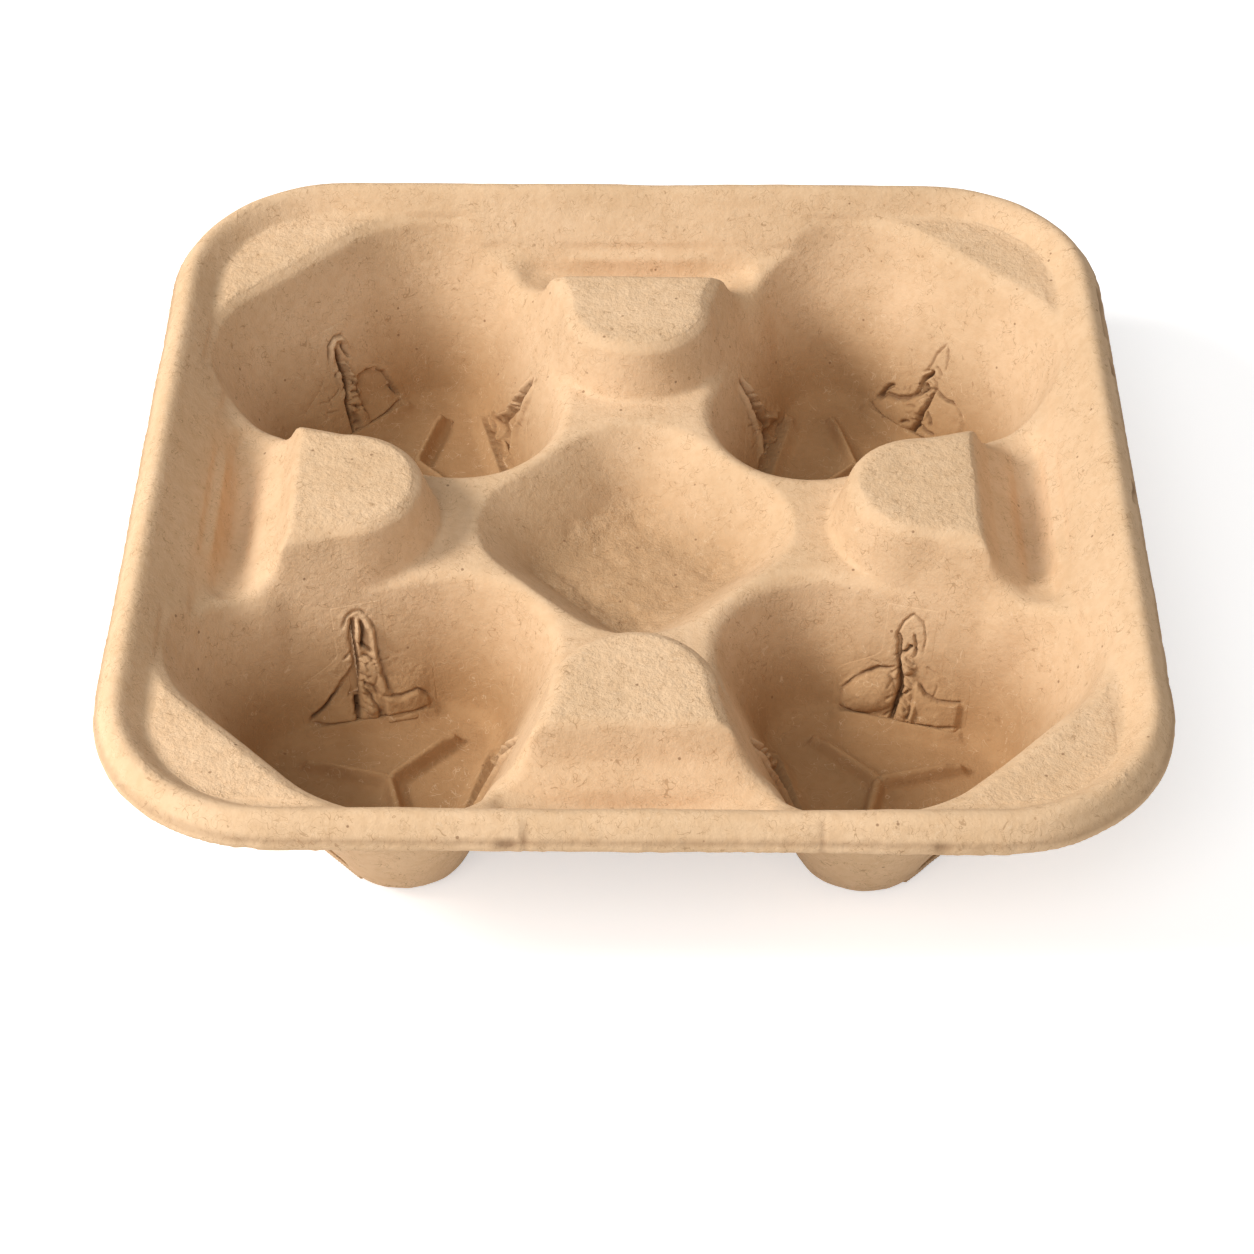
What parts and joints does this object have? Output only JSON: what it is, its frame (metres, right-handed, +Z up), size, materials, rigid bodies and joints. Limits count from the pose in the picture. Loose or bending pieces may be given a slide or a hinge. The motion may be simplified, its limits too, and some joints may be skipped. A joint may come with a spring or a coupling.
{
  "type": "cardboard cup carrier",
  "caption": "Square moulded-fibre carry tray for drinks cups, with tapered wells, posts between them, a stepped rim and a square pocket in the middle.",
  "frame": {"origin": "middle of the tray at the level of the table it stands on", "axes": "+Z up, out of the wells; +X and +Y along the straight sides of the rim"},
  "size_m": [0.215, 0.215, 0.0485],
  "materials": {
    "fibre": "matte"
  },
  "bodies": {
    "root": {"cup_tray": "fibre"}
  },
  "joints": []
}
